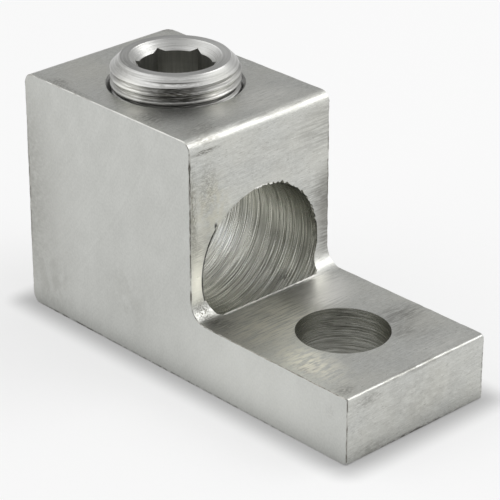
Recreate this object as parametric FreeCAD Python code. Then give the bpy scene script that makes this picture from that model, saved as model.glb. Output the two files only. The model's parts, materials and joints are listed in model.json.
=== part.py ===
import FreeCAD, Part
import math
import os

# A mechanical lug with one stud hole and one set screw, in millimetres.
# The origin is where the stud hole's axis meets the flat underside.
# +X points to the tang's tip, +Y across the width and +Z up along the set screw.

# Wire bore and the metal round it
boreDiameter = 22.2
sideWall = 2.4
floorWall = 4.5
threadWall = 10.55
boreOverrun = 1.9
boreEndChamfer = 0.5

# Block and tang
blockLength = 35.8
tangLength = 30.9
tangThickness = 10.25
innerFillet = 2.75
blockCorner = 1.6
tipTopCorner = 0.5
tipBottomCorner = 0.4

# Stud hole in the tang
studHoleDiameter = 13.5
studHoleToTip = 14.25

# Set screw and its hole
threadDiameter = 19.05
threadClearance = 0.05
holeMouthChamfer = 0.5
screwLength = 14.3
screwFootGap = 0.35
topChamfer = 1.55
footChamfer = 1.0

# Hex socket in the screw
keyAcrossFlats = 10.0
keyClearance = 0.05
pilotAllowance = 0.3
socketDepth = 8.5
socketMouthLip = 0.9
socketTurn = 44.8
drillPointAngle = 118.0

# How far a cutting tool reaches past the surface it opens
toolReach = 5.0

# Sizes and places that follow
bodyWidth = boreDiameter + 2 * sideWall
boreAxisHeight = floorWall + boreDiameter / 2
boreCrown = floorWall + boreDiameter
blockHeight = boreCrown + threadWall
tipX = studHoleToTip
blockFaceX = tipX - tangLength
rearX = blockFaceX - blockLength
screwX = rearX + blockLength / 2
threadRadius = threadDiameter / 2
screwHoleRadius = threadRadius + threadClearance
screwFootZ = boreCrown + screwFootGap
screwTopZ = screwFootZ + screwLength
socketAcrossFlats = keyAcrossFlats + 2 * keyClearance
socketCornerRadius = socketAcrossFlats / 2 / math.cos(math.radians(30))
socketMouthRadius = socketCornerRadius + socketMouthLip
pilotRadius = socketAcrossFlats / 2 + pilotAllowance

upward = FreeCAD.Vector(0, 0, 1)
forward = FreeCAD.Vector(1, 0, 0)
acrossWidth = FreeCAD.Vector(0, 1, 0)


# A closed face in the XZ plane whose corners, given as (x, z, radius), are rounded by tangent arcs
def roundedProfile(corners, y):
    points = [FreeCAD.Vector(x, y, z) for x, z, radius in corners]
    starts, middles, ends = [], [], []
    for index, (x, z, radius) in enumerate(corners):
        corner = points[index]
        toPrevious = (points[index - 1] - corner).normalize()
        toNext = (points[(index + 1) % len(points)] - corner).normalize()
        halfAngle = toPrevious.getAngle(toNext) / 2
        setback = radius / math.tan(halfAngle)
        inward = (toPrevious + toNext).normalize()
        starts.append(corner + toPrevious * setback)
        middles.append(corner + inward * (radius / math.sin(halfAngle) - radius))
        ends.append(corner + toNext * setback)
    edges = []
    for index in range(len(points)):
        edges.append(Part.Arc(starts[index], middles[index], ends[index]).toShape())
        following = (index + 1) % len(points)
        edges.append(Part.LineSegment(ends[index], starts[following]).toShape())
    return Part.Face(Part.Wire(edges))


# A solid turned about the upright line through (x, 0) from (radius, z) points
def turned(x, outline):
    points = [FreeCAD.Vector(x + radius, 0, z) for radius, z in outline]
    profile = Part.Face(Part.makePolygon(points + points[:1]))
    return profile.revolve(FreeCAD.Vector(x, 0, 0), upward, 360)


# The extrusion: its outline from the side, drawn out across the width
def extrudedBlank():
    outline = [
        (rearX, 0, blockCorner),
        (tipX, 0, tipBottomCorner),
        (tipX, tangThickness, tipTopCorner),
        (blockFaceX, tangThickness, innerFillet),
        (blockFaceX, blockHeight, blockCorner),
        (rearX, blockHeight, blockCorner),
    ]
    return roundedProfile(outline, -bodyWidth / 2).extrude(acrossWidth * bodyWidth)


# The drill for the wire bore enters at the rear face and stops just past the block's front face,
# so its lower part ends as a short trough in the tang. The drill's end has a small chamfer.
def wireBoreTool():
    boreRadius = boreDiameter / 2
    straightLength = toolReach + blockLength + boreOverrun - boreEndChamfer
    start = FreeCAD.Vector(rearX - toolReach, 0, boreAxisHeight)
    shank = Part.makeCylinder(boreRadius, straightLength, start, forward)
    shoulder = start + forward * straightLength
    end = Part.makeCone(boreRadius, boreRadius - boreEndChamfer, boreEndChamfer, shoulder, forward)
    return shank.fuse(end).removeSplitter()


def studHoleTool():
    start = FreeCAD.Vector(0, 0, -toolReach)
    return Part.makeCylinder(studHoleDiameter / 2, tangThickness + 2 * toolReach, start, upward)


# The screw's hole runs from the chamfered mouth in the top down into the wire bore
def screwHoleTool():
    mouthRadius = screwHoleRadius + holeMouthChamfer
    outline = [
        (0, boreAxisHeight),
        (screwHoleRadius, boreAxisHeight),
        (screwHoleRadius, blockHeight - holeMouthChamfer),
        (mouthRadius, blockHeight),
        (mouthRadius, blockHeight + toolReach),
        (0, blockHeight + toolReach),
    ]
    return turned(screwX, outline)


def lugBody():
    body = extrudedBlank()
    for tool in (wireBoreTool(), studHoleTool(), screwHoleTool()):
        body = body.cut(tool)
    return body


# The screw's plain outside is the crest of its thread, with a chamfer at each end
def screwBlank():
    outline = [
        (0, screwFootZ),
        (threadRadius - footChamfer, screwFootZ),
        (threadRadius, screwFootZ + footChamfer),
        (threadRadius, screwTopZ - topChamfer),
        (threadRadius - topChamfer, screwTopZ),
        (0, screwTopZ),
    ]
    return turned(screwX, outline)


# The broached hexagon, one corner at socketTurn degrees from +X
def socketHexTool():
    bottom = screwTopZ - socketDepth
    corners = []
    for index in range(7):
        angle = math.radians(socketTurn + 60 * index)
        x = screwX + socketCornerRadius * math.cos(angle)
        y = socketCornerRadius * math.sin(angle)
        corners.append(FreeCAD.Vector(x, y, bottom))
    hexagon = Part.Face(Part.makePolygon(corners))
    return hexagon.extrude(upward * (socketDepth + toolReach))


# The pilot hole drilled for the hexagon is a little wider than its flats, so the broach cuts only
# the six corners and each flat keeps a shallow hollow. The hole ends in the drill's point.
def socketDrillTool():
    bottom = screwTopZ - socketDepth
    pointDepth = pilotRadius / math.tan(math.radians(drillPointAngle / 2))
    outline = [
        (0, bottom - pointDepth),
        (pilotRadius, bottom),
        (pilotRadius, screwTopZ),
        (0, screwTopZ),
    ]
    return turned(screwX, outline)


# The 45 degree cone that leads the key into the hexagon
def socketMouthTool():
    outline = [
        (0, screwTopZ - socketMouthRadius),
        (socketMouthRadius, screwTopZ),
        (socketMouthRadius, screwTopZ + toolReach),
        (0, screwTopZ + toolReach),
    ]
    return turned(screwX, outline)


def setScrew():
    screw = screwBlank()
    for tool in (socketHexTool(), socketDrillTool(), socketMouthTool()):
        screw = screw.cut(tool)
    return screw


os.makedirs("parts", exist_ok=True)
for name, shape in (("lug_body", lugBody()), ("set_screw", setScrew())):
    solid = shape.Solids[0]
    solid.exportStep("parts/" + name + ".step")
    box = solid.BoundBox
    print(name, "valid", solid.isValid(), "solids", len(shape.Solids), "volume", round(solid.Volume, 1))
    print("  from", round(box.XMin, 2), round(box.YMin, 2), round(box.ZMin, 2))
    print("  to", round(box.XMax, 2), round(box.YMax, 2), round(box.ZMax, 2))
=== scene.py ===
import json
import math
from functools import partial

import bmesh
import bpy
from mathutils import Matrix, Vector, noise


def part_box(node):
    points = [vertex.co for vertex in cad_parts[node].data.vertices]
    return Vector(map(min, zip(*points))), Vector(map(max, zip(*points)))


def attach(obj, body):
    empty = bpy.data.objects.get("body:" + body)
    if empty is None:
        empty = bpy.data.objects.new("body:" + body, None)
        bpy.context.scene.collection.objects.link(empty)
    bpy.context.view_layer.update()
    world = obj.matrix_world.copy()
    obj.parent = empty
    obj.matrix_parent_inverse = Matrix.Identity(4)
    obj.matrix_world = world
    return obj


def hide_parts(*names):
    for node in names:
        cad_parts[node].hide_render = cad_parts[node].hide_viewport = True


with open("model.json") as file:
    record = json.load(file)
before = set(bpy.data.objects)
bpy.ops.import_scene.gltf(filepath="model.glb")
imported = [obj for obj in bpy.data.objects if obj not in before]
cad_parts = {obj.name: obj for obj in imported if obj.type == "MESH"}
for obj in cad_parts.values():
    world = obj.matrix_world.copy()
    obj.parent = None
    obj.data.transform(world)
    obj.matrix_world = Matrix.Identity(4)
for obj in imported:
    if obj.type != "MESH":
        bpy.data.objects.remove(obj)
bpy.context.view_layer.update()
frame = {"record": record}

# A bare aluminium mechanical lug: an extruded and drilled body with a turned set screw.
# Shapes are made in millimetres in the frame's own axes and turned to metres at the end.
mm = 0.001
mounts = {mount["name"]: mount for mount in frame["record"]["mounts"]}
bore, studHole = mounts["wire_bore"], mounts["stud_hole"]
boreRadius, boreLength = bore["dims"]["r_mm"], bore["dims"]["length_mm"]
boreZ = bore["pos_m"][2] / mm
tangTop = mounts["tang_top"]["pos_m"][2] / mm
bodyLow, bodyHigh = [Vector(corner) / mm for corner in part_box("lug_body")]
screwLow, screwHigh = [Vector(corner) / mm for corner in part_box("set_screw")]
screwX = (screwLow.x + screwHigh.x) / 2
screwRadius = (screwHigh.x - screwLow.x) / 2
blockFace = bodyLow.x + boreLength


# sRGB hex to the linear values that shaders take
def linearColour(hexText):
    channels = [int(hexText[place:place + 2], 16) / 255 for place in (1, 3, 5)]
    linear = [c / 12.92 if c <= 0.04045 else ((c + 0.055) / 1.055) ** 2.4 for c in channels]
    return (*linear, 1.0)


# Links each input that is given a socket or a node, which stands for its first output, and sets
# any other. A list goes to the first inputs in turn.
def setInputs(node, inputs):
    for key, value in inputs.items() if isinstance(inputs, dict) else enumerate(inputs):
        if isinstance(value, bpy.types.Node):
            value = value.outputs[0]
        if isinstance(value, bpy.types.NodeSocket):
            node.id_data.links.new(value, node.inputs[key])
        else:
            node.inputs[key].default_value = value


# Adds one node; settings that are only a word name its operation
def addNode(tree, kind, inputs=(), settings=()):
    node = tree.nodes.new(kind)
    if isinstance(settings, str):
        settings = {"operation": settings}
    for key, value in dict(settings).items():
        setattr(node, key, value)
    setInputs(node, inputs)
    return node


def newObject(name, data):
    item = bpy.data.objects.new(name, data)
    bpy.context.scene.collection.objects.link(item)
    return item


# Materials. Each reads the object's own coordinates, turned to millimetres.

mathNode, vectorNode, rangeNode = "ShaderNodeMath", "ShaderNodeVectorMath", "ShaderNodeMapRange"
noiseNode, mixNode, mappingNode = "ShaderNodeTexNoise", "ShaderNodeMix", "ShaderNodeMapping"
splitNode, joinNode = "ShaderNodeSeparateXYZ", "ShaderNodeCombineXYZ"
smoothStep, solidNoise = {"interpolation_type": "SMOOTHSTEP"}, {"noise_dimensions": "4D"}


def radians(turn):
    return [math.radians(angle) for angle in turn]


# Noise whose features have the given size in millimetres along each axis, spread from 0 to 1
def spreadNoise(add, place, size, turn=(0, 0, 0), detail=2, low=0.32, high=0.68):
    inputs = {"Vector": place, "Rotation": radians(turn), "Scale": size}
    laid = add(mappingNode, inputs, {"vector_type": "TEXTURE"})
    fine = add(noiseNode, {"Vector": laid, "Scale": 1, "Detail": detail})
    return add(rangeNode, {"Value": fine, "From Min": low, "From Max": high})


def weightedSum(add, parts, weights):
    total = 0.0
    for part, weight in zip(parts, weights):
        total = add(mathNode, [part, weight, total], "MULTIPLY_ADD")
    return total


# Turns the colour towards the tint by the amount times the weight
def tinted(add, colour, amount, weight, tint):
    share = add(mathNode, [amount, weight], "MULTIPLY")
    mixed = add(mixNode, {0: share, 6: colour, 7: linearColour(tint)}, {"data_type": "RGBA"})
    return mixed.outputs[2]


# A mark fades out from its centre, and most marks break up in small patches. Marks are rubbed-in dirt and
# wear, and some are painted highlights, reflections and shadows
def markAmount(add, place, centre, reach, patch):
    offset = add(vectorNode, [place, centre], "SUBTRACT")
    scaled = add(vectorNode, [offset, reach], "DIVIDE")
    distance = add(vectorNode, [scaled], "LENGTH").outputs["Value"]
    near = add(rangeNode, {"Value": distance, "From Min": 1, "From Max": 0.1}, smoothStep)
    broken = spreadNoise(add, place, patch, low=0.38, high=0.6) if patch else 1
    return add(mathNode, [near, broken], "MULTIPLY")


# As its tone rises, a metal runs from its dark colour to its light one and from rough to smooth.
# Its pattern gives the parts of the tone, of the height and of the tints, and its look their weights.
def makeMetal(name, look, marks, pattern):
    material = bpy.data.materials.new(name)
    material.use_nodes = True
    tree = material.node_tree
    add = partial(addNode, tree)
    inMetres = add("ShaderNodeTexCoord").outputs["Object"]
    place = add(vectorNode, {0: inMetres, "Scale": 1 / mm}, "SCALE")
    toneParts, heightParts, tintParts = pattern(add, place, look)
    tone = weightedSum(add, toneParts, look["toneWeights"])
    smooth, rough = look["roughness"]
    roughness = add(rangeNode, {"Value": tone, "To Min": rough, "To Max": smooth})
    dark, light = look["colours"]
    colour = tinted(add, linearColour(dark), tone, 1, light)
    for part, (weight, tint) in zip(tintParts, look.get("tints", [])):
        colour = tinted(add, colour, part, weight, tint)
    for centre, reach, patch, weight, tint in marks:
        colour = tinted(add, colour, markAmount(add, place, centre, reach, patch), weight, tint)
    height = weightedSum(add, heightParts, look["heights"])
    bump = add("ShaderNodeBump", {"Height": height, "Distance": mm})
    setInputs(tree.nodes["Principled BSDF"], {
        "Metallic": 1, "Base Color": colour, "Roughness": roughness, "Normal": bump})
    return material


# Extruded aluminium: brushed across the width, so fine lines run along Y and highlights
# stretch across them, with darker rubbed-in dirt beside the edges and some painted highlights and shadows
extrudedLook = {
    "colours": ("#b0b1ad", "#d1d2ce"),
    "roughness": (0.26, 0.4),
    "fineLine": (0.16, 2.8, 0.16),
    "broadLine": (0.4, 16, 0.4),
    "lineTilt": (4, 0, 2),
    "mottle": (0.45, 0.7, 0.45),
    "patch": (7, 9, 7),
    # Sparse handling scratches cross the brushing at other angles: size and turn of each kind
    "scratches": [
        ((0.1, 2.6, 0.1), (35, 45, 0)),
        ((0.1, 1.8, 0.1), (-30, -40, 25)),
        ((0.12, 1.5, 0.12), (10, 70, -50)),
    ],
    "speck": (0.2, 0.7, 0.2),
    # Weights of the fine lines, broad lines and mottle, then heights of these and the scratches
    "toneWeights": (0.5, 0.15, 0.35),
    "heights": (0.0075, 0.005, 0.004, -0.006),
    # Warm patches, scratches and specks
    "tints": [(0.5, "#d0cfc6"), (0.4, "#e4e5e2"), (0.4, "#92918b")],
}
# Marks: centre, reach, size of the patches that each breaks up in, weight and colour
extrudedMarks = [
    ((-16.7, 13.8, 20.5), (2, 4.4, 9), (0.22, 2.5, 0.22), 0.4, "#6d6b66"),
    ((-16.7, 13.6, 19), (1, 4.4, 10), None, 0.7, "#7c7a75"),
    ((-16.7, 11.6, 21.8), (2, 6, 5), (0.26, 3, 0.26), 0.5, "#65635e"),
    ((-16.7, 12.9, 14.5), (1, 2.4, 5), (0.22, 2.5, 0.22), 0.6, "#6d6b66"),
    ((-16.7, -9.5, 26.5), (1, 5, 7), (1, 1, 1.2), 0.5, "#c6c2b0"),
    ((-16.7, -13.2, 27), (1, 0.55, 10), (0.3, 0.3, 1.2), 0.55, "#8b867a"),
    # Painted glint: white on the burr at the top of the bore's rim
    ((-16.4, -0.4, 26.7), (0.25, 3.4, 1.4), None, 1, "#ffffff"),
    # Painted highlight: a pale strip down the front face left of the bore
    ((-16.7, -12, 18.5), (1, 2.6, 9.5), None, 0.9, "#f2f1e9"),
    ((-16.7, -11.6, 21.2), (1, 2.6, 4.6), (0.16, 1.6, 0.16), 0.35, "#6a685f"),
    ((-17.1, -10.2, 36.9), (1.6, 5, 1.2), (0.3, 1.2, 0.3), 0.75, "#8d8b85"),
    ((-16.7, 3, 31.5), (1, 11, 5), (0.9, 3, 0.8), 0.18, "#8a8984"),
    ((-16.7, -12.8, 27), (1, 1, 10), (0.16, 0.3, 0.5), 0.6, "#6f6c60"),
    # Painted shadow in the nick on the bore's rim
    ((-16.65, -8.7, 23.4), (0.6, 0.42, 0.7), None, 1, "#35332f"),
    ((-16.7, 12, 32.5), (2, 8, 6), (0.3, 4, 0.3), 0.5, "#8b8a85"),
    ((-16.6, 13.35, 26), (0.6, 0.4, 14), (0.3, 0.3, 0.7), 0.9, "#56534c"),
    ((14.25, 13.35, 5), (0.6, 0.4, 6), (0.3, 0.3, 0.5), 0.8, "#56534c"),
    ((14.1, 0, 0.3), (0.8, 15, 0.5), (0.3, 0.9, 0.3), 0.9, "#4f4c46"),
    ((-51.6, 12.9, 36.7), (2.4, 1.8, 1.8), (0.4, 0.4, 0.4), 0.9, "#7d7b75"),
    ((-52, 0, 37), (0.9, 15, 0.7), (0.4, 1, 0.4), 0.6, "#66645e"),
    ((-16.7, -10.2, 29.5), (2, 3, 6), (0.18, 0.3, 0.18), 0.55, "#7c7a71"),
    ((-16.7, -12.6, 22), (2, 1.4, 3.4), (0.2, 0.4, 0.2), 0.25, "#77756b"),
    ((-16.9, -10.6, 35.3), (1.2, 3.6, 0.6), (0.14, 0.9, 0.14), 1, "#56534b"),
    ((2.2, 9.2, 10.3), (4, 6.5, 1.5), (0.2, 1.8, 0.5), 0.6, "#66645f"),
    ((5.9, 6, 10.3), (2.2, 3.6, 1.5), (0.2, 1, 0.5), 0.5, "#6f6d67"),
    ((4.4, -11.2, 10.3), (2.6, 2, 1.5), (0.25, 0.5, 0.5), 0.4, "#8b7f73"),
    ((12.2, -11.9, 10.3), (1.6, 2.6, 1.5), (0.2, 0.5, 0.5), 0.55, "#6c6a65"),
    ((-13, -11, 11), (3.6, 3, 2), (0.2, 0.9, 0.2), 0.8, "#504e48"),
    ((-15.5, -11.8, 11.6), (2.2, 2.6, 2.4), (0.22, 0.3, 0.22), 1, "#57554e"),
    ((-12, 0, 10.3), (5, 11, 1), (0.24, 3.6, 0.4), 0.36, "#6f695e"),
    # Painted sheen: pale patches on the tang's top
    ((-8.5, -6, 10.3), (9, 13, 1), (0.18, 2.8, 0.4), 0.95, "#f6f3e8"),
    ((3.5, -9.8, 10.3), (9, 4.6, 1), (0.4, 1.8, 0.4), 0.9, "#f3f0e2"),
    ((11.6, 7, 10.3), (3, 8, 1), (0.3, 3, 0.4), 0.35, "#f0efea"),
    # Painted band of reflection on the tang behind the fillet, on the far side
    ((-11.5, 6.7, 10.3), (7, 6.5, 1), None, 0.85, "#f8f7f2"),
    ((-13.6, 8.6, 10.3), (5, 5, 1), (0.3, 3, 0.4), 0.85, "#f8f7f2"),
    ((-9.4, 4.8, 10.3), (5.6, 5, 1), (0.3, 3, 0.4), 1, "#f8f7f2"),
    ((5, 7.5, 10.3), (9, 6, 1), (0.2, 2.2, 0.4), 0.3, "#7d7b76"),
    # Painted dark reflection: a darker band, broken in streaks, along the top of the block's front
    # rounding
    ((-17.4, 3, 37.3), (0.9, 15, 1.5), (0.3, 3.5, 0.6), 0.5, "#7c7a74"),
    ((-24, -9.6, 37.3), (9, 6, 1), (0.2, 2.4, 0.4), 0.1, "#74726c"),
    # Painted sheen on the block's top, right of the screw
    ((-21.5, 5.5, 37.3), (5, 8, 1), (0.2, 2.4, 0.4), 0.55, "#f0efea"),
    ((-27.5, -11.6, 37.3), (4.5, 2.2, 1), (0.3, 0.9, 0.4), 0.55, "#5f5d58"),
    ((-19.5, -8.5, 37.3), (3, 5, 1), (0.25, 1.2, 0.4), 0.45, "#706e69"),
    ((-45.9, -12, 37.3), (2.6, 1.4, 1), (0.3, 0.5, 0.4), 0.5, "#6d6b66"),
    ((-44, -12.9, 37.3), (8.5, 0.9, 1), (0.3, 0.3, 0.4), 0.5, "#6d6b66"),
    # Painted sheen: lighter patches on the block's top beside the screw
    ((-30, -11, 37.3), (2.6, 2.6, 1), None, 0.4, "#f6f5f0"),
    ((-22.6, -3, 37.3), (3.4, 3, 1), None, 0.35, "#f6f5f0"),
    ((14.1, 0, 10.1), (0.7, 17, 0.7), (0.5, 2, 0.5), 0.7, "#8b8a84"),
    ((14.3, 0, 5), (1, 14, 6), (1, 1.6, 0.9), 0.25, "#83817b"),
    ((14.3, -9.5, 8.8), (0.6, 4, 1.6), (0.3, 0.7, 0.3), 0.5, "#77756f"),
    ((14.3, -9, 1), (0.6, 5, 1.6), (0.3, 0.8, 0.3), 0.4, "#77756f"),
]


def extrudedPattern(add, place, look):
    fine = spreadNoise(add, place, look["fineLine"], look["lineTilt"])
    broad = spreadNoise(add, place, look["broadLine"], look["lineTilt"])
    patches = spreadNoise(add, place, look["patch"])
    mottle = spreadNoise(add, place, look["mottle"], detail=3)
    scratched = 0.0
    for size, turn in look["scratches"]:
        scratch = spreadNoise(add, place, size, turn, low=0.6, high=0.68)
        scratched = add(mathNode, [scratch, scratched], "MAXIMUM")
    specks = spreadNoise(add, place, look["speck"], low=0.63, high=0.7)
    return (fine, broad, mottle), (fine, broad, mottle, scratched), (patches, scratched, specks)


# Sawn aluminium: an even satin face with faint arcs left by the blade
sawnLook = {
    "colours": ("#c2c3bf", "#d0d1cd"),
    "roughness": (0.38, 0.5),
    "grain": (0.3, 0.3, 0.4),
    "patch": (2.5, 2.5, 4),
    "bladeCentre": (-130, 0, 90),
    "bladeStep": 0.55,
    "toneWeights": (0.5, 0.3, 0.2),
    "heights": (0.006, 0.004),
}
sawnMarks = [
    ((11, -13.5, 7.2), (1.4, 1, 1.6), (0.3, 0.5, 0.3), 0.2, "#75736b"),
    ((-48, -13.5, 5), (7, 1, 9), (1.2, 2, 1.8), 0.25, "#8d8b84"),
    ((-52, -13.5, 20), (3.5, 1, 20), (0.6, 2, 1), 0.3, "#96948d"),
    ((-30, -13.5, 9), (7, 1, 7), (1, 1, 1.6), 0.14, "#8d8b84"),
    # Painted light: the tang's side face made paler, in place of a brighter reflection of the floor
    ((-4, -13.5, 5), (24, 1, 12), None, 0.35, "#e8e9e4"),
    # Painted shade: the side face darker towards its rear
    ((-54, -13.5, 17), (16, 1, 31), None, 0.38, "#9d9c96"),
    ((-51.5, -13.5, 18), (6, 1, 22), (0.7, 1, 0.3), 0.16, "#7d7b75"),
    ((-19, -13.5, 0.1), (38, 0.6, 0.32), (0.8, 0.5, 0.4), 0.7, "#4f4c46"),
    ((-42, -13.5, 0.1), (14, 0.6, 0.36), (1.6, 0.5, 0.4), 0.85, "#4f4c46"),
    ((-52.35, -13.5, 20), (0.6, 0.6, 20), (0.4, 0.5, 1.2), 0.7, "#66645e"),
]


def sawnPattern(add, place, look):
    grain = spreadNoise(add, place, look["grain"])
    patches = spreadNoise(add, place, look["patch"])
    offset = add(vectorNode, [place, look["bladeCentre"]], "SUBTRACT")
    flat = add(vectorNode, [offset, (1, 0, 1)], "MULTIPLY")
    sweep = add(vectorNode, [flat], "LENGTH").outputs["Value"]
    across = add(joinNode, {"X": sweep})
    blade = spreadNoise(add, across, (look["bladeStep"],) * 3)
    return (grain, patches, blade), (grain, blade), ()


# Drilled aluminium: fine rings smeared round the bore, bright on their ridges and dark between
drilledLook = {
    "colours": ("#9f9f97", "#e1e1da"),
    "roughness": (0.2, 0.34),
    "axisPlace": (0, 0, 0),
    "axisTurn": (0, 0, 0),
    # Each kind of ring: how far it runs, how thick it is and how it is tilted
    "rings": [
        (14, 0.24, (1.2, -0.8, 0)),
        (9, 0.312, (-2.6, 1.9, 0)),
        (7, 0.15, (0.5, 0.9, 0)),
    ],
    "toneWeights": (0.35, 0.25, 0.4),
    "heights": (0.014, 0.0084, 0.012),
}
drilledMarks = [
    # Painted reflection: a pale bluish patch deep on the bore's far wall
    ((-34.3, 9.2, 9.6), (4.6, 3, 3.6), (0.25, 3, 3), 0.45, "#e6eaf0"),
    # Painted shadow: a dark band just inside the bore's right rim
    ((-17, 10.9, 16.5), (1.3, 3, 9), (0.6, 1.2, 1.2), 0.55, "#46443f"),
    ((-20.3, 8.4, 8.3), (1.5, 1.5, 1.5), (0.25, 0.5, 0.5), 0.8, "#4c4a45"),
    ((-24.9, 10.6, 12.5), (1.2, 1, 1.6), (0.3, 0.6, 0.6), 0.4, "#5a5852"),
    # Painted highlight: a pale patch high on the bore's far wall
    ((-24.4, 10.8, 17.8), (6.5, 3, 5.5), (0.25, 2.5, 2.5), 0.8, "#f0f0e9"),
    ((-25.6, 9.3, 9.5), (5, 3, 3.5), (0.25, 2.5, 2.5), 0.4, "#6b6a62"),
    # Painted shade in the upper part of the stud hole's wall, broken in bands
    ((-4.9, 4.6, 8), (6, 6, 5), (2, 2, 0.3), 0.5, "#4f4d48"),
]


# The place is turned so that Z follows the hole's axis
def drilledPattern(add, place, look):
    inputs = {"Vector": place, "Location": look["axisPlace"], "Rotation": radians(look["axisTurn"])}
    laid = add(mappingNode, inputs, {"vector_type": "TEXTURE"})
    rings = [spreadNoise(add, laid, (run, run, thick), tilt, 1, 0.4, 0.6)
             for run, thick, tilt in look["rings"]]
    return rings, rings, ()


# Turned aluminium: fine rings round the screw's axis, so its flats look combed
turnedLook = {
    "colours": ("#9b9b98", "#cacac8"),
    "roughness": (0.3, 0.42),
    "fineRing": (0.2, 0.9, 0.9),
    "broadRing": (0.7, 1.2, 1.2),
    "dent": (0.32, 0.32, 0.32),
    "toneWeights": (0.55, 0.35, 0.1),
    "heights": (0.01, 0.012, 0.006),
    # The thread's grooves are darker, between these depths and these distances below the top
    "grooveDepth": (0.02, 0.42),
    "chamferDepth": (1.3, 1.6),
    "tints": [(0.4, "#66645e")],
}
# The thread's last groove runs out on the chamfer as a thin lap with a rough lip under it. Pale marks
# along the lip and the chamfer's top edge are painted highlights
turnedMarks = [
    # Painted highlights along the lip and the chamfer's top edge, on the near side
    ((screwX + 6.8, -6.4, 40.34), (6.6, 6.6, 0.26), (1, 1, 0.2), 0.7, "#f6f6f4"),
    ((screwX + 6, -5.6, 41), (6, 6, 0.34), (1.2, 1.2, 0.05), 0.5, "#f0f0ee"),
    ((screwX + 6.4, -6, 40.56), (6.6, 6.6, 0.14), None, 0.85, "#3b3934"),
    # Painted dark reflection on the thread's near side, below the lap
    ((screwX + 6.9, -6.4, 39.6), (7, 7, 0.42), (1.2, 1.2, 0.14), 0.7, "#3f3d38"),
    ((screwX + 6.9, -6.4, 38.8), (7, 7, 1.8), (0.9, 0.9, 0.1), 0.95, "#45433e"),
    # Painted highlights on the thread's left and right sides
    ((screwX + 0.4, -9.3, 39), (4.6, 3, 2), None, 0.55, "#f2f1eb"),
    ((screwX + 8.4, 4.4, 39.2), (3, 4.4, 2), None, 0.2, "#f2f1eb"),
    ((screwX - 2, -8.4, 41), (4.6, 3.6, 1.8), (0.7, 0.7, 0.16), 0.25, "#6f6e6a"),
    ((screwX - 2, -8.4, 40.6), (4.6, 4, 2), None, 0.3, "#8a8985"),
    ((screwX + 8.8, 0.6, 40.6), (2.2, 3.8, 1.4), None, 0.8, "#8e8e8a"),
    ((screwX - 4.4, -2.3, 41), (1.8, 1.8, 1), None, 0.3, "#8e8e8a"),
    # Painted sheen on the far side of the screw's top ring
    ((screwX + 2, 6, 41.35), (7, 5, 0.25), None, 0.4, "#f2f2f0"),
    # Painted dark reflection on the thread's near side
    ((screwX + 6.9, -6.5, 39.1), (5, 5, 0.5), (1.2, 1.2, 0.2), 0.9, "#4b4943"),
    # Painted highlight on the thread's right side
    ((screwX + 9.4, -0.7, 38.3), (2.5, 3.4, 1.4), None, 0.5, "#f6f5ef"),
    # Painted dark reflection on the thread's near side
    ((screwX + 6.9, -6.4, 38.3), (7, 7, 0.42), (1.2, 1.2, 0.14), 0.8, "#3f3d38"),
]


def turnedPattern(add, place, look):
    offset = add(vectorNode, [place, (screwX, 0, 0)], "SUBTRACT")
    parts = add(splitNode, [offset]).outputs
    flat = add(joinNode, [parts["X"], parts["Y"]])
    radius = add(vectorNode, [flat], "LENGTH").outputs["Value"]
    way = add(vectorNode, [flat], "NORMALIZE")
    wayParts = add(splitNode, [way]).outputs
    # Radius plus height tells rings apart on flats, cones and the thread alike
    across = weightedSum(add, (radius, parts["Z"]), (1, 2.2))
    combed = add(joinNode, [across, wayParts["X"], wayParts["Y"]])
    fine = spreadNoise(add, combed, look["fineRing"])
    broad = spreadNoise(add, combed, look["broadRing"])
    dents = spreadNoise(add, place, look["dent"], low=0.3, high=0.45)
    limits = []
    for value, top, depth in (
            (radius, screwRadius, "grooveDepth"), (parts["Z"], screwHigh.z, "chamferDepth")):
        shallow, deep = look[depth]
        limits.append(add(rangeNode, {
            "Value": value, "From Min": top - shallow, "From Max": top - deep}))
    grooved = add(mathNode, limits, "MULTIPLY")
    return (fine, broad, dents), (fine, broad, dents), (grooved,)


# Broached aluminium: the hexagon's walls, dull and scored down their length
broachedLook = {
    "colours": ("#9a9a95", "#b4b4af"),
    "roughness": (0.34, 0.46),
    "score": (0.4, 0.4, 7),
    "ring": (9, 9, 0.3),
    "toneWeights": (0.75, 0.25),
    "heights": (0.006, 0.006),
}
broachedMarks = [
    # Painted highlight: a pale patch on the socket's far wall
    ((screwX - 3.6, 2.4, 38), (1.2, 1.6, 3.4), (0.3, 0.3, 2.5), 0.6, "#dcdcd8"),
]


def broachedPattern(add, place, look):
    parts = [spreadNoise(add, place, look[part]) for part in ("score", "ring")]
    return parts, parts, ()


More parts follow.
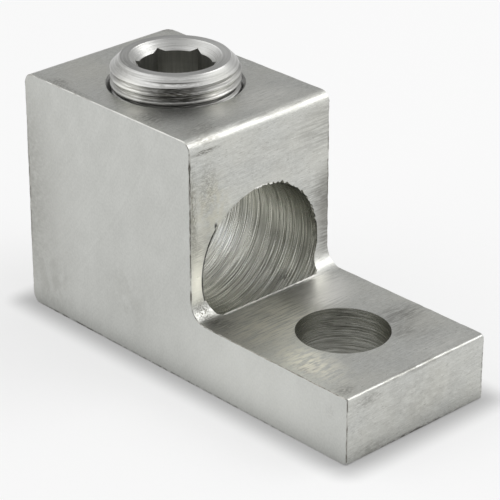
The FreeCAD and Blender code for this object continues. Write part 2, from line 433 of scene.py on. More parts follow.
# Burred aluminium: the thin rubbed edge round each sawn face, with a painted highlight along
# the block's top, and greyer below it
burredLook = {
    "colours": ("#7d7b75", "#c3c3be"),
    "roughness": (0.34, 0.5),
    "patch": (0.5, 0.5, 1.6),
    # Painted highlight along the block's top edge: how far below the top it starts and ends
    "brightEdge": (0.6, 0.1),
    "toneWeights": (1,),
    "heights": (0.008,),
}
burredMarks = [
    ((-16.65, -13.5, 33.6), (1, 1, 5), (0.4, 0.4, 1.5), 0.95, "#4b4842"),
    ((-16.65, -13.5, 22), (1, 1, 12), (0.4, 0.4, 0.9), 0.8, "#57544d"),
    # Painted shadow: the rim groove left of the bore painted near black
    ((-16.65, -9.2, 17.5), (1, 4.2, 14), None, 1, "#33312d"),
    ((14.25, -13.5, 9.2), (1, 1, 3), (0.4, 0.4, 0.8), 0.9, "#4b4842"),
    ((14.25, -13.5, 3), (1, 1, 5), (0.4, 0.4, 0.7), 0.4, "#6f6c64"),
    ((-46, -13.5, 37.25), (17, 0.8, 0.8), (1.4, 0.4, 0.4), 0.85, "#807e78"),
    ((2, -13.5, 10.25), (24, 0.8, 0.8), None, 0.8, "#88857c"),
    ((6, -13.5, 10.25), (12, 0.8, 0.8), (0.7, 0.4, 0.4), 0.6, "#625f57"),
    ((-10, -13.5, 10.6), (8, 0.8, 1.2), (0.6, 0.4, 0.4), 1, "#4b4842"),
]


def burredPattern(add, place, look):
    broken = spreadNoise(add, place, look["patch"], low=0.36, high=0.6)
    up = add(splitNode, [place]).outputs["Z"]
    # The tone rises to full near the block's top: a painted highlight
    start, end = [bodyHigh.z - depth for depth in look["brightEdge"]]
    bright = add(rangeNode, {"Value": up, "From Min": start, "From Max": end})
    return [add(mathNode, [broken, bright], "MAXIMUM")], [broken], ()


extruded = makeMetal("extrudedAluminium", extrudedLook, extrudedMarks, extrudedPattern)
sawn = makeMetal("sawnAluminium", sawnLook, sawnMarks, sawnPattern)
alongX = {"axisPlace": (0, 0, boreZ), "axisTurn": (0, 90, 0)}
drilledAlong = makeMetal("drilledAluminium", drilledLook | alongX, drilledMarks, drilledPattern)
drilledUp = makeMetal("drilledAluminiumUpright", drilledLook, drilledMarks, drilledPattern)
turned = makeMetal("turnedAluminium", turnedLook, turnedMarks, turnedPattern)
broached = makeMetal("broachedAluminium", broachedLook, broachedMarks, broachedPattern)
burred = makeMetal("burredAluminium", burredLook, burredMarks, burredPattern)
print("materials made")


# Geometry node trees

# An empty tree with one geometry output and an input for each named size
def newShapeTree(name, sizes):
    tree = bpy.data.node_groups.new(name, "GeometryNodeTree")
    tree.interface.new_socket("Geometry", in_out="OUTPUT", socket_type="NodeSocketGeometry")
    for label, value in sizes.items():
        kind = "NodeSocketInt" if isinstance(value, int) else "NodeSocketFloat"
        if isinstance(value, bpy.types.Material):
            kind = "NodeSocketMaterial"
        tree.interface.new_socket(label, in_out="INPUT", socket_type=kind)
    add = partial(addNode, tree)
    return tree, add, add("NodeGroupInput"), add("NodeGroupOutput")


# A plain mesh of an object as its modifiers leave it
def appliedMesh(item):
    evaluated = item.evaluated_get(bpy.context.evaluated_depsgraph_get())
    return bpy.data.meshes.new_from_object(evaluated)


# Runs a tree on a mesh, or on an empty one, with its named sizes
def meshFromTree(name, tree, sizes, start=None):
    carrier = newObject(name, start or bpy.data.meshes.new(name))
    modifier = carrier.modifiers.new("shape", "NODES")
    modifier.node_group = tree
    for item in tree.interface.items_tree:
        if item.in_out == "INPUT" and item.name in sizes:
            modifier[item.identifier] = sizes[item.name]
    mesh = appliedMesh(carrier)
    bpy.data.objects.remove(carrier)
    return mesh


# A grid whose columns go once round Z and whose rows climb it, with shares of the turn and climb
def roundGrid(add, sizes):
    columns = add(mathNode, [sizes["Columns"], 1], "ADD")
    rows = add(mathNode, [sizes["Rows"], 1], "ADD")
    grid = add("GeometryNodeMeshGrid", {
        "Size X": 1, "Size Y": 1, "Vertices X": columns, "Vertices Y": rows})
    place = add(splitNode, [add("GeometryNodeInputPosition")]).outputs
    turn = add(mathNode, [place["X"], 0.5], "ADD")
    climb = add(mathNode, [place["Y"], 0.5], "ADD")
    angle = add(mathNode, [turn, 2 * math.pi, sizes["Start Angle"]], "MULTIPLY_ADD")
    cosine = add(mathNode, [angle], "COSINE")
    sine = add(mathNode, [angle], "SINE")
    return grid, turn, climb, cosine, sine


# How far a value is from halfway between two whole numbers
def halfWave(add, value):
    phase = add(mathNode, [value], "FRACT")
    offset = add(mathNode, [phase, 0.5], "SUBTRACT")
    return add(mathNode, [offset], "ABSOLUTE")


# Gives a tree's shape its material and sends it out as a real mesh
def endTree(add, sizes, output, shape):
    real = add("GeometryNodeRealizeInstances", [shape])
    finished = add("GeometryNodeSetMaterial", {"Geometry": real, "Material": sizes["Material"]})
    setInputs(output, {"Geometry": finished})


# Puts the grid's points at their radius and height round Z, and closes the seam
def roundSurface(add, sizes, output, mesh, cosine, sine, radius, height):
    x = add(mathNode, [radius, cosine], "MULTIPLY")
    y = add(mathNode, [radius, sine], "MULTIPLY")
    place = add(joinNode, [x, y, height])
    placed = add("GeometryNodeSetPosition", {"Geometry": mesh, "Position": place})
    joined = add("GeometryNodeMergeByDistance", {"Geometry": placed, "Distance": 0.0005})
    endTree(add, sizes, output, joined)


# A 60 degree thread round Z. Rows follow the helix, so its crests and roots stay sharp.
threadSizes = {
    "Columns": 144, "Rows": 192, "Start Angle": 0.0, "Pitch": 1.27, "Turns": 12.0,
    "Crest Radius": 9.5, "Depth": 0.78, "Low": 0.0, "High": 10.0, "Phase": 0.0,
    "Low End Radius": 8.0, "High End Radius": 8.0, "Wear": 0.13, "Material": turned,
}


def threadTree():
    tree, add, group, output = newShapeTree("thread", threadSizes)
    sizes = group.outputs
    mesh, turn, climb, cosine, sine = roundGrid(add, sizes)
    started = add(mathNode, [climb, sizes["Turns"]], "MULTIPLY")
    root = add(mathNode, [sizes["Crest Radius"], sizes["Depth"]], "SUBTRACT")
    # Worn crests and roots are rounded: an eighth of the pitch is flat at the crest, a quarter at the root
    profile = add(rangeNode, {
        "Value": halfWave(add, started), "From Min": 1 / 16, "From Max": 6 / 16,
        "To Min": sizes["Crest Radius"], "To Max": root}, smoothStep)
    turnsUp = add(mathNode, [started, turn], "ADD")
    phased = add(mathNode, [turnsUp, sizes["Phase"]], "ADD")
    raised = add(mathNode, [phased, sizes["Pitch"], sizes["Low"]], "MULTIPLY_ADD")
    height = add("ShaderNodeClamp", [raised, sizes["Low"], sizes["High"]])
    # Wear reads the way round and the height, so it is the same on both sides of the seam
    where = add(joinNode, [cosine, sine, height])
    worn = add(noiseNode, {"Vector": where, "Scale": 5, "Detail": 3})
    wear = add(mathNode, [worn, sizes["Wear"]], "MULTIPLY")
    radius = add(mathNode, [profile, wear], "SUBTRACT")
    # Each end narrows to its own radius in a chamfer
    for start, end, endRadius in (
            (sizes["Low"], height, "Low End Radius"), (height, sizes["High"], "High End Radius")):
        inside = add(mathNode, [end, start], "SUBTRACT")
        limit = add(mathNode, [sizes[endRadius], inside], "ADD")
        radius = add(mathNode, [radius, limit], "MINIMUM")
    roundSurface(add, sizes, output, mesh, cosine, sine, radius, height)
    return tree


# A drilled wall round Z: feed ridges that fade in and out over rings of uneven depth
ringSizes = {
    "Columns": 120, "Rows": 500, "Start Angle": 0.0, "Radius": 11.1, "Low": 0.0, "High": 40.0,
    "Ring Spacing": 0.36, "Ridge Height": 0.035, "Ring Depth": 0.045, "Tilt": 0.5, "Seed": 1.0,
    "Material": drilledAlong,
}


def toolRingTree():
    tree, add, group, output = newShapeTree("toolRings", ringSizes)
    sizes = group.outputs
    mesh, turn, climb, cosine, sine = roundGrid(add, sizes)
    height = add(rangeNode, {"Value": climb, "To Min": sizes["Low"], "To Max": sizes["High"]})
    cut = 0.0
    # Two families of rings, tilted different ways, cross at a small angle
    for lean, share, ridgeShare, shift in ((sine, 1, 1, 0), (cosine, 0.7, 0.5, 7.3)):
        leaned = add(mathNode, [lean, sizes["Tilt"], height], "MULTIPLY_ADD")
        along = add(mathNode, [leaned, sizes["Ring Spacing"]], "DIVIDE")
        where = add(joinNode, [cosine, sine, along])
        seed = add(mathNode, [sizes["Seed"], shift], "ADD")
        spot = {"Vector": where, "W": seed}
        rings = add(noiseNode, spot | {"Scale": 0.8, "Detail": 2, "Roughness": 0.7}, solidNoise)
        wander = add(noiseNode, spot | {"Scale": 0.23, "Detail": 1}, solidNoise)
        centred = add(mathNode, [rings, 0.35], "SUBTRACT")
        uneven = add(mathNode, [centred, share], "MULTIPLY")
        deep = add(mathNode, [uneven, sizes["Ring Depth"], cut], "MULTIPLY_ADD")
        # The feed ridges are a zigzag whose spacing wanders, and fade where the drill rubbed
        wandered = add(mathNode, [wander, 4, along], "MULTIPLY_ADD")
        fade = add(rangeNode, {
            "Value": wander, "From Min": 0.42, "From Max": 0.58,
            "To Min": ridgeShare * 2, "To Max": ridgeShare * 0.3})
        faded = add(mathNode, [halfWave(add, wandered), fade], "MULTIPLY")
        cut = add(mathNode, [faded, sizes["Ridge Height"], deep], "MULTIPLY_ADD")
    radius = add(mathNode, [cut, sizes["Radius"]], "ADD")
    roundSurface(add, sizes, output, mesh, cosine, sine, radius, height)
    return tree


# A raised burr: a thin uneven bead along the line of points that the tree is run on
burrSizes = {"Radius": 0.11, "Wander": 0.12, "Material": extruded}


def burrTree():
    tree, add, group, output = newShapeTree("burr", burrSizes)
    line = tree.interface.new_socket("Line", in_out="INPUT", socket_type="NodeSocketGeometry")
    tree.interface.move(line, 0)
    sizes = group.outputs
    curve = add("GeometryNodeMeshToCurve", [sizes["Line"]])
    position = add("GeometryNodeInputPosition")
    uneven = add(noiseNode, {"Vector": position, "Scale": 1.7, "Detail": 2})
    centred = add(vectorNode, [uneven.outputs["Color"], (0.5, 0.5, 0.5)], "SUBTRACT")
    shift = add(vectorNode, {0: centred, "Scale": sizes["Wander"]}, "SCALE")
    moved = add("GeometryNodeSetPosition", {"Geometry": curve, "Offset": shift})
    profile = add("GeometryNodeCurvePrimitiveCircle", {"Resolution": 8, "Radius": sizes["Radius"]})
    bead = add("GeometryNodeCurveToMesh", {"Curve": moved, "Profile Curve": profile, "Fill Caps": True})
    endTree(add, sizes, output, bead)
    return tree


threads = threadTree()
toolRings = toolRingTree()
burrs = burrTree()
print("shape trees made")


# Mesh helpers

# A thread's surface between two heights, with two turns to spare
def threadMesh(name, low, high, rowsPerTurn, sizes):
    turns = math.ceil((high - low) / threadSizes["Pitch"]) + 2
    run = {"Rows": turns * rowsPerTurn, "Turns": float(turns), "Low": low, "High": high}
    return meshFromTree(name, threads, threadSizes | run | sizes)


# Turns a bmesh into a mesh with its materials
def meshOf(name, shape, *materials):
    mesh = bpy.data.meshes.new(name)
    shape.to_mesh(mesh)
    shape.free()
    for material in materials:
        mesh.materials.append(material)
    return mesh


# Joins two rows of as many points, each closed to a loop, with faces
def joinLoops(shape, lower, upper, slot=0):
    for index in range(len(lower)):
        following = (index + 1) % len(lower)
        face = shape.faces.new((lower[index], lower[following], upper[following], upper[index]))
        face.material_index = slot


# Fills the open ends of a tube and points its faces outwards
def closedMesh(mesh):
    shape = bmesh.new()
    shape.from_mesh(mesh)
    bmesh.ops.remove_doubles(shape, verts=shape.verts, dist=0.0005)
    bmesh.ops.dissolve_degenerate(shape, dist=0.0002, edges=shape.edges)
    rims = [edge for edge in shape.edges if edge.is_boundary]
    bmesh.ops.holes_fill(shape, edges=rims)
    bmesh.ops.recalc_face_normals(shape, faces=shape.faces)
    shape.to_mesh(mesh)
    shape.free()
    return mesh


# Adds and then cuts tools, and gives back one mesh in which each cut has its tool's material
def combinedMesh(blank, additions, tools):
    body = newObject("blank", blank)
    helpers = []
    for operation, meshes in (("UNION", additions), ("DIFFERENCE", tools)):
        for mesh in meshes:
            helper = newObject("tool", mesh)
            helpers.append(helper)
            modifier = body.modifiers.new("combine", "BOOLEAN")
            modifier.operation = operation
            modifier.solver = "MANIFOLD"
            modifier.material_mode = "TRANSFER"
            modifier.object = helper
    mesh = appliedMesh(body)
    for item in [body, *helpers]:
        bpy.data.objects.remove(item)
    return mesh


# Turns a mesh in millimetres into a finished piece that stands for a CAD node
def finishPiece(name, mesh, body, node, sharpAngle=28):
    mesh.transform(Matrix.Scale(mm, 4))
    mesh.name = name
    mesh.shade_smooth()
    mesh.set_sharp_from_angle(angle=math.radians(sharpAngle))
    piece = newObject(name, mesh)
    weighting = piece.modifiers.new("faceNormals", "WEIGHTED_NORMAL")
    weighting.keep_sharp = True
    weighting.weight = 100
    smooth = appliedMesh(piece)
    piece.modifiers.clear()
    piece.data = smooth
    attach(piece, body)
    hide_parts(node)
    triangles = sum(len(face.vertices) - 2 for face in smooth.polygons)
    print(name, "made,", triangles, "triangles")


# The extruded body

bodyShape = {
    "blockCorner": 1.6,
    "innerFillet": 2.75,
    "tipCorner": 0.4,
    "arcSteps": 14,
    "runStep": 0.7,
    # Width of the rubbed edge round each sawn face, on the upright front edges and near the block's top
    "edge": 0.104,
    "frontEdge": 0.144,
    "topFrontEdge": 0.208,
    "topFrontHeight": 8,
    "edgeVariation": 0.8,
    "edgeScale": 0.9,
    "boreOverrun": 1.9,
    "boreEndChamfer": 0.5,
    "screwHoleRadius": 9.575,
    "screwHoleMouth": 0.5,
    "tappedDepth": 0.55,
    "toolReach": 3.0,
    # Burr along the trough's end: radius, how far it wanders, and its share of the trough's width
    "troughBurr": (0.17, 0.2, 0.985),
    # Burrs on the bore's rim: from and to which angle, and radius
    "rimBurrs": [(79, 97, 0.15), (104, 128, 0.07), (-14, 12, 0.1)],
    "rimBurrOffset": 0.06,
    "rimGroove": 0.2,
    "rimGrooveAngles": (138, 196),
    "beadSteps": 60,
}

# The torn rim of the bore, by angle in degrees from the far side upwards
tornRim = {
    "columns": 720,
    "toothHeight": 0.36,
    "plainShare": 0.15,
    # The teeth grow from the first angle over so many degrees, and end likewise at the second
    "toothStart": (-20, 70),
    "toothEnd": (100, 12),
    "nickAngle": 137.7,
    "nickWidth": 2.2,
    "nickDepth": 0.3,
}

# Corners that were knocked: where, which way the flat faces, and how far it cuts along X
knockedCorners = [
    ((14.25, -13.5, 0), (1, -1, -2), 0.95),
    ((14.25, -13.5, 0), (1, -2.2, -1.2), 0.75),
    ((14.25, -13.5, 0), (2.2, -1, -1.2), 0.4),
    ((14.25, 13.5, 10.25), (1, 1, 1), 0.6),
    ((14.25, -13.5, 10.25), (1, -1, 1), 0.45),
    ((-16.65, -13.5, 37.25), (1, -1, 1), 0.9),
    ((-52.45, 13.5, 37.25), (-1, 0.6, 1), 1.75),
    ((-52.45, 13.5, 37.25), (-1, 2, 1), 2.4),
]


# The outline of the extrusion in X and Z, with arcs at its corners and short steps between them
def bodyOutline(shape):
    corners = [
        (bodyLow.x, bodyLow.z, shape["blockCorner"]),
        (bodyHigh.x, bodyLow.z, shape["tipCorner"]),
        (bodyHigh.x, tangTop, shape["tipCorner"]),
        (blockFace, tangTop, shape["innerFillet"]),
        (blockFace, bodyHigh.z, shape["blockCorner"]),
        (bodyLow.x, bodyHigh.z, shape["blockCorner"]),
    ]
    arcs = []
    for index, (x, z, radius) in enumerate(corners):
        corner = Vector((x, z))
        beside = corners[index - 1], corners[(index + 1) % len(corners)]
        toPrevious, toNext = [(Vector(other[:2]) - corner).normalized() * radius for other in beside]
        centre = corner + toPrevious + toNext
        arc = []
        for step in range(shape["arcSteps"] + 1):
            turn = math.radians(90) * step / shape["arcSteps"]
            arc.append(centre - toNext * math.cos(turn) - toPrevious * math.sin(turn))
        arcs.append(arc)
    points = []
    for index, arc in enumerate(arcs):
        points += arc
        start, end = arc[-1], arcs[(index + 1) % len(arcs)][0]
        steps = max(1, round((end - start).length / shape["runStep"]))
        points += [start.lerp(end, step / steps) for step in range(1, steps)]
    return points


# The extrusion sawn to width, with a narrow uneven edge all round each sawn face
def bodyBlank(shape):
    outline = bodyOutline(shape)
    mesh = bmesh.new()
    rows = []
    for side in (-1, 1):
        rim, full = [], []
        for index, point in enumerate(outline):
            along = (outline[(index + 1) % len(outline)] - outline[index - 1]).normalized()
            inward = Vector((-along.y, along.x))
            ragged = noise.noise(Vector((point.x, side * 7, point.y)) * shape["edgeScale"])
            edge = "edge"
            if abs(point.x - blockFace) < 0.01 or point.x > bodyHigh.x - 0.01:
                edge = "topFrontEdge" if point.y > bodyHigh.z - shape["topFrontHeight"] else "frontEdge"
            width = shape[edge] * (1 + shape["edgeVariation"] * ragged)
            inset = point + inward * width
            faceY = side * bodyHigh.y
            rim.append(mesh.verts.new((inset.x, faceY, inset.y)))
            full.append(mesh.verts.new((point.x, faceY - side * width, point.y)))
        rows += [rim, full] if side < 0 else [full, rim]
    # The extruded wall runs between the two rubbed edges
    for row, slot in enumerate((2, 0, 2)):
        joinLoops(mesh, rows[row], rows[row + 1], slot)
    for row in (rows[0], rows[-1]):
        mesh.faces.new(row).material_index = 1
    bmesh.ops.recalc_face_normals(mesh, faces=mesh.faces)
    return meshOf("blank", mesh, extruded, sawn, burred)


# A block whose one face lies on the flat that a knocked corner shows
def knockTool(corner, facing, reach):
    normal = Vector(facing).normalized()
    depth = reach * abs(normal.x)
    size = 6
    box = bmesh.new()
    bmesh.ops.create_cube(box, size=size)
    mesh = meshOf("knock", box, extruded)
    centre = Vector(corner) + normal * (size / 2 - depth)
    mesh.transform(Matrix.Translation(centre) @ normal.to_track_quat("Z", "Y").to_matrix().to_4x4())
    return mesh


# The drill for the wire bore, laid along X with its end just past the block's front face
def wireBoreTool(shape):
    reach, chamfer = shape["toolReach"], shape["boreEndChamfer"]
    straight = reach + boreLength + shape["boreOverrun"] - chamfer
    mesh = meshFromTree("wireBore", toolRings, dict(ringSizes, Rows=480, Radius=boreRadius, High=straight))
    drill = bmesh.new()
    drill.from_mesh(mesh)
    rim = [edge for edge in drill.edges if edge.is_boundary and edge.verts[0].co.z > straight / 2]
    narrowed = 1 - chamfer / boreRadius
    for item in bmesh.ops.extrude_edge_only(drill, edges=rim)["geom"]:
        if isinstance(item, bmesh.types.BMVert):
            item.co.x *= narrowed
            item.co.y *= narrowed
            item.co.z += chamfer
    drill.to_mesh(mesh)
    drill.free()
    laid = Matrix.Rotation(math.radians(90), 4, "Y")
    mesh.transform(Matrix.Translation(Vector(bore["pos_m"]) / mm - Vector((reach, 0, 0))) @ laid)
    return closedMesh(mesh)


# A point of a circle round the bore's axis, in the plane of the block's front face or beside it
def rimPoint(radius, angle, ahead=0):
    return blockFace + ahead, radius * math.cos(angle), boreZ + radius * math.sin(angle)


# Where the drill breaks through the block's front face it tears small teeth out of the rim, most of
# them on the upper right, and one deeper nick on the left
def breakoutTool(rim):
    start, growth = rim["toothStart"]
    end, decay = rim["toothEnd"]
    angles, cuts = [], []
    for column in range(rim["columns"]):
        angle = math.radians(column * 360 / rim["columns"])
        degrees = (column * 360 / rim["columns"] + 180) % 360 - 180
        sector = max(0, min(1, (degrees - start) / growth)) * max(0, min(1, (end - degrees) / decay))
        way = Vector((math.cos(angle), math.sin(angle), 6))
        tooth = noise.noise(way * 23) * 0.8 + noise.noise(way * 9) * 0.3
        small = noise.noise((way + Vector((0, 0, 2))) * 6)
        share = rim["plainShare"] + (1 - rim["plainShare"]) * sector
        cut = rim["toothHeight"] * share * max(0, tooth * 1.6 + 0.3)
        cut += 0.08 * max(0, small)
        cut += rim["nickDepth"] * math.exp(-((degrees - rim["nickAngle"]) / rim["nickWidth"]) ** 2)
        angles.append(angle)
        cuts.append(cut)
    # Narrower than the bore inside it, and torn from the face outwards
    mesh = bmesh.new()
    rows = []
    for ahead, wider in ((-0.8, [-0.25] * len(cuts)), (0, cuts), (0.5, cuts)):
        rows.append([mesh.verts.new(rimPoint(boreRadius + cut, angle, ahead))
                     for angle, cut in zip(angles, wider)])
    for lower, upper in zip(rows, rows[1:]):
        joinLoops(mesh, lower, upper)
    return closedMesh(meshOf("breakout", mesh, drilledAlong))


def studHoleTool(shape):
    reach, dims = shape["toolReach"], studHole["dims"]
    return closedMesh(meshFromTree("studHole", toolRings, ringSizes | {
        "Columns": 96, "Rows": 160, "Radius": dims["r_mm"], "Low": -reach,
        "High": dims["length_mm"] + reach, "Ring Spacing": 0.5, "Ridge Height": 0.012, "Ring Depth": 0.02,
        "Tilt": 0.05, "Seed": 5.0, "Material": drilledUp}))


# The tapped hole: its thread is cut outwards from the hole that the screw slides in
def screwHoleTool(shape):
    radius, depth = shape["screwHoleRadius"], shape["tappedDepth"]
    mesh = threadMesh("screwHole", boreZ, bodyHigh.z + shape["toolReach"], 10, {
        "Columns": 96, "Phase": -1.0, "Wear": 0.0, "Crest Radius": radius + depth, "Depth": depth,
        "Low End Radius": radius - 2, "High End Radius": radius - 2})
    mesh.transform(Matrix.Translation((screwX, 0, 0)))
    return closedMesh(mesh)


# The countersink at the mouth of the tapped hole
def holeMouthTool(shape):
    above, below = 2.0, shape["screwHoleMouth"] + 1
    height = below + above
    radius = shape["screwHoleRadius"] - 1
    cone = bmesh.new()
    bmesh.ops.create_cone(
        cone, cap_ends=True, segments=144, radius1=radius, radius2=radius + height, depth=height)
    mesh = meshOf("holeMouth", cone, turned)
    mesh.transform(Matrix.Translation((screwX, 0, bodyHigh.z + (above - below) / 2)))
    return mesh


def burrMesh(points, radius, wander):
    line = bpy.data.meshes.new("burrLine")
    line.from_pydata(points, [(index, index + 1) for index in range(len(points) - 1)], [])
    return closedMesh(meshFromTree("burr", burrs, dict(burrSizes, Radius=radius, Wander=wander), line))


# A bead along the bore's rim between two angles in degrees
def rimBead(shape, rimRadius, start, end, radius, wander):
    steps = shape["beadSteps"]
    angles = [math.radians(start + (end - start) * step / steps) for step in range(steps + 1)]
    return burrMesh([rimPoint(rimRadius, angle) for angle in angles], radius, wander)


# The burr along the end of the trough, and three on the rim of the bore
def burrMeshes(shape):
    steps = shape["beadSteps"]
    radius, wander, share = shape["troughBurr"]
    halfWidth = math.sqrt((boreRadius - shape["boreEndChamfer"]) ** 2 - (boreZ - tangTop) ** 2)
    troughEnd = blockFace + shape["boreOverrun"]
    trough = [(troughEnd + 0.03, halfWidth * (2 * step / steps - 1) * share, tangTop + 0.01)
              for step in range(steps + 1)]
    return [burrMesh(trough, radius, wander)] + [
        rimBead(shape, boreRadius + shape["rimBurrOffset"], *burr, 0.12) for burr in shape["rimBurrs"]]


# The drill's last turn scored the face beside the rim, from the nick down to the fillet. The groove's
# burred face is painted near black as shadow
def rimGrooveTool(shape):
    reach = boreRadius + shape["rimGroove"] * 0.9
    mesh = rimBead(shape, reach, *shape["rimGrooveAngles"], shape["rimGroove"], 0.03)
    mesh.materials.clear()
    mesh.materials.append(burred)
    return mesh


def makeBody(shape):
    tools = [
        wireBoreTool(shape), breakoutTool(tornRim), studHoleTool(shape), screwHoleTool(shape),
        holeMouthTool(shape), rimGrooveTool(shape), *[knockTool(*corner) for corner in knockedCorners]]
    mesh = combinedMesh(bodyBlank(shape), burrMeshes(shape), tools)
    finishPiece("body", mesh, "lug", "lug_body")


makeBody(bodyShape)


# The set screw

screwShape = {
    "columns": 192,
    "rowsPerTurn": 20,
    "threadDepth": 0.45,
    "topChamfer": 1.55,
    "footChamfer": 1,
    "socketAcrossFlats": 10.1,
    "pilotRadius": 5.35,
    "socketDepth": 8.5,
    "socketMouthLip": 0.9,
    "socketTurn": 44.8,
    "drillPointAngle": 118,
    # Where a crest of the thread passes
    "crestHeight": 38.95,
    "crestAngle": -43.2,
    # Steps across the top ring, down the countersink and down the wall
    "ringSteps": 3,
    "coneSteps": 8,
    "wallSteps": 6,
}


# The thread from the foot's edge to the top ring, phased so that a crest meets the stated height
def screwThread(shape):
    crestTurn = (shape["crestAngle"] - shape["socketTurn"]) % 360 / 360
    crestUp = (shape["crestHeight"] - screwLow.z) / threadSizes["Pitch"]
    return threadMesh("screwThread", screwLow.z, screwHigh.z, shape["rowsPerTurn"], {
        "Columns": shape["columns"],
        "Start Angle": math.radians(shape["socketTurn"]),
        "Phase": (crestUp - crestTurn - 0.5) % 1 - 2,
        "Depth": shape["threadDepth"],
        "Crest Radius": screwRadius,
        "Low End Radius": screwRadius - shape["footChamfer"],
        "High End Radius": screwRadius - shape["topChamfer"]})


# Lines of points from the top ring inwards: countersink, hexagon with its pilot hole, drilled point
def socketLines(shape):
    top = screwHigh.z
    flat = shape["socketAcrossFlats"] / 2
    pilot = shape["pilotRadius"]
    mouth = flat / math.cos(math.radians(30)) + shape["socketMouthLip"]
    bottom = top - shape["socketDepth"]
    pointDepth = pilot / math.tan(math.radians(shape["drillPointAngle"] / 2))
    ring = screwRadius - shape["topChamfer"]
    ringSteps, coneSteps, wallSteps = shape["ringSteps"], shape["coneSteps"], shape["wallSteps"]
    lines = []
    for column in range(shape["columns"]):
        turn = 360 * column / shape["columns"]
        wall = max(pilot, flat / math.cos(math.radians(turn % 60 - 30)))
        edge = top - (mouth - wall)
        line = [(ring + (mouth - ring) * s / ringSteps, top) for s in range(ringSteps + 1)]
        line += [(mouth + (wall - mouth) * s / coneSteps, top + (edge - top) * s / coneSteps)
                 for s in range(1, coneSteps + 1)]
        line += [(wall, edge + (bottom - edge) * s / wallSteps) for s in range(1, wallSteps + 1)]
        line += [(flat * 0.999, bottom), (flat * 0.5, bottom - pointDepth / 2)]
        angle = math.radians(turn + shape["socketTurn"])
        lines.append([(r * math.cos(angle), r * math.sin(angle), z) for r, z in line])
    return lines, (0, 0, bottom - pointDepth)


def makeScrew(shape):
    lines, tip = socketLines(shape)
    wallStart = shape["ringSteps"] + shape["coneSteps"]
    mesh = bmesh.new()
    mesh.from_mesh(screwThread(shape))
    for face in mesh.faces:
        face.material_index = 0
    columns = [[mesh.verts.new(point) for point in line] for line in lines]
    tipVertex = mesh.verts.new(tip)
    for index, column in enumerate(columns):
        following = columns[(index + 1) % len(columns)]
        for row in range(len(column) - 1):
            face = mesh.faces.new((column[row], following[row], following[row + 1], column[row + 1]))
            face.material_index = 1 if row >= wallStart else 0
        mesh.faces.new((column[-1], following[-1], tipVertex)).material_index = 1
    made = meshOf("screw", mesh, turned, broached)
    made.transform(Matrix.Translation((screwX, 0, 0)))
    finishPiece("setScrew", closedMesh(made), "screw", "set_screw")


makeScrew(screwShape)


# Floor, light and camera

studio = {
    "floorSize": 4,
    "floorColour": "#a6a6a6",
    "floorGlow": 0.55,
    "underShare": 0.35,
    "shadeWidth": 5,
    # Brightness of the sky on each side of the lug, as the camera sees it, at these sines of height
    "skyHeights": (0, 0.12, 0.28, 0.46, 0.66, 0.86),
    "sky": {
        "front": (1, 0.35, 0.02, 0.02, 0.2, 0.62),
        "back": (1, 0.42, 0.3, 0.5, 0.76, 0.9),
        "left": (1.5, 1.43, 1.32, 1.5, 1.75, 1.45),
        "right": (1, 0.98, 1.12, 1.3, 1.3, 1.15),
    },
    "skyOverhead": 0.95,
    "skyScale": 4,
}


def makeFloor():
    mesh = bmesh.new()
    bmesh.ops.create_grid(mesh, x_segments=1, y_segments=1, size=studio["floorSize"] / 2)
    material = bpy.data.materials.new("paper")
    floor = newObject("floor", meshOf("floor", mesh, material))
    material.use_nodes = True
    tree = material.node_tree
    tree.nodes.clear()
    add = partial(addNode, tree)
    path = add("ShaderNodeLightPath").outputs
    seen = path["Is Camera Ray"]
    for ray in ("Is Glossy Ray", "Is Transmission Ray"):
        seen = add(mathNode, [seen, path[ray]], "MAXIMUM")
    # The paper glows less under the lug and close round it, where its own shadow lies
    middle = (bodyLow + bodyHigh) / 2 * mm
    half = (bodyHigh - bodyLow) / 2 * mm
    place = add("ShaderNodeTexCoord").outputs["Object"]
    offset = add(vectorNode, [place, (middle.x, middle.y, 0)], "SUBTRACT")
    away = add(vectorNode, [offset], "ABSOLUTE")
    outside = add(vectorNode, [away, (half.x, half.y, 0)], "SUBTRACT")
    clear = add(vectorNode, [outside, (0, 0, 0)], "MAXIMUM")
    distance = add(vectorNode, [clear], "LENGTH").outputs["Value"]
    glow = add(rangeNode, {
        "Value": distance, "From Max": studio["shadeWidth"] * mm,
        "To Min": studio["floorGlow"] * studio["underShare"], "To Max": studio["floorGlow"]}, smoothStep)
    strength = add(mathNode, [seen, glow], "MULTIPLY")
    light = add("ShaderNodeEmission", {"Strength": strength})
    diffuse = add("ShaderNodeBsdfDiffuse", [linearColour(studio["floorColour"])])
    both = add("ShaderNodeAddShader", [diffuse, light])
    add("ShaderNodeOutputMaterial", {"Surface": both})


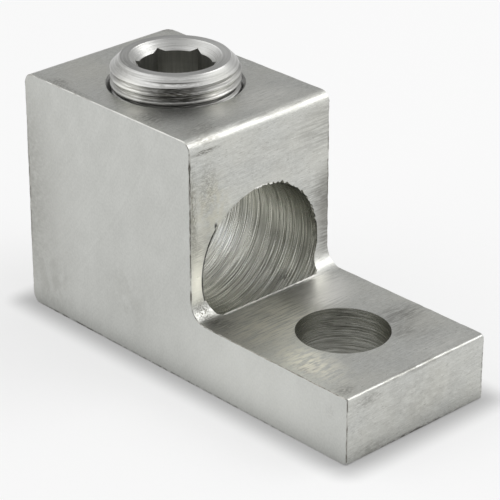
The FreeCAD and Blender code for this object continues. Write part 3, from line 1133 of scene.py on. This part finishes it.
# A white horizon under a greyer sky, with a dark room behind the camera
def makeWorld():
    world = bpy.data.worlds.new("studio")
    bpy.context.scene.world = world
    world.use_nodes = True
    add = partial(addNode, world.node_tree)
    way = add("ShaderNodeTexCoord").outputs["Generated"]
    height = add(splitNode, [way]).outputs["Z"]
    azimuth = math.radians(view["azimuth"])
    towards = Vector((math.sin(azimuth), -math.cos(azimuth), 0))
    across = Vector((math.cos(azimuth), math.sin(azimuth), 0))
    flat = add(vectorNode, [way, (1, 1, 0)], "MULTIPLY")
    level = add(vectorNode, [flat], "NORMALIZE")
    total = (0, 0, 0)
    for side, direction in (("front", towards), ("back", -towards), ("left", -across), ("right", across)):
        stops = [*zip(studio["skyHeights"], studio["sky"][side]), (1, studio["skyOverhead"])]
        ramp = add("ShaderNodeValToRGB", [height])
        while len(ramp.color_ramp.elements) < len(stops):
            ramp.color_ramp.elements.new(1)
        for stop, (place, brightness) in zip(ramp.color_ramp.elements, stops):
            stop.position = place
            stop.color = (*[brightness / studio["skyScale"]] * 3, 1)
        facing = add(vectorNode, [level, direction], "DOT_PRODUCT").outputs["Value"]
        clear = add(mathNode, [facing, 0], "MAXIMUM")
        share = add(mathNode, [clear, 2], "POWER")
        part = add(vectorNode, {0: ramp, "Scale": share}, "SCALE")
        total = add(vectorNode, [total, part], "ADD")
    setInputs(world.node_tree.nodes["Background"], {"Color": total, "Strength": studio["skyScale"]})


# A softbox behind the lug on the right, in metres and watts
softbox = {
    "target": (-0.02, 0, 0.02),
    "towards": (0.42, 0.65, 0.63),
    "distance": 0.9,
    "size": (0.6, 0.42),
    "power": 1.5,
}


def makeSoftbox():
    lamp = bpy.data.lights.new("softbox", "AREA")
    lamp.shape = "RECTANGLE"
    lamp.size, lamp.size_y = softbox["size"]
    lamp.energy = softbox["power"]
    item = newObject("softbox", lamp)
    way = Vector(softbox["towards"]).normalized()
    item.location = Vector(softbox["target"]) + way * softbox["distance"]
    item.rotation_euler = way.to_track_quat("Z", "Y").to_euler()


# The camera stands where the photo's perspective puts it
view = {
    "azimuth": 46.82,
    "elevation": 26.23,
    "distance": 353.7,
    "lookAt": (-17.8, -1.1, 16.7),
    "lens": 178.6,
    "sensor": 36,
}


def makeCamera():
    lens = bpy.data.cameras.new("camera")
    lens.lens = view["lens"]
    lens.sensor_width = view["sensor"]
    camera = newObject("camera", lens)
    azimuth, elevation = math.radians(view["azimuth"]), math.radians(view["elevation"])
    level = math.cos(elevation)
    back = Vector((math.sin(azimuth) * level, -math.cos(azimuth) * level, math.sin(elevation)))
    camera.location = (Vector(view["lookAt"]) + back * view["distance"]) * mm
    camera.rotation_euler = back.to_track_quat("Z", "Y").to_euler()
    bpy.context.scene.camera = camera


makeFloor()
makeWorld()
makeSoftbox()
makeCamera()
bpy.context.scene.view_settings.view_transform = "Standard"
print("floor, light and camera made")
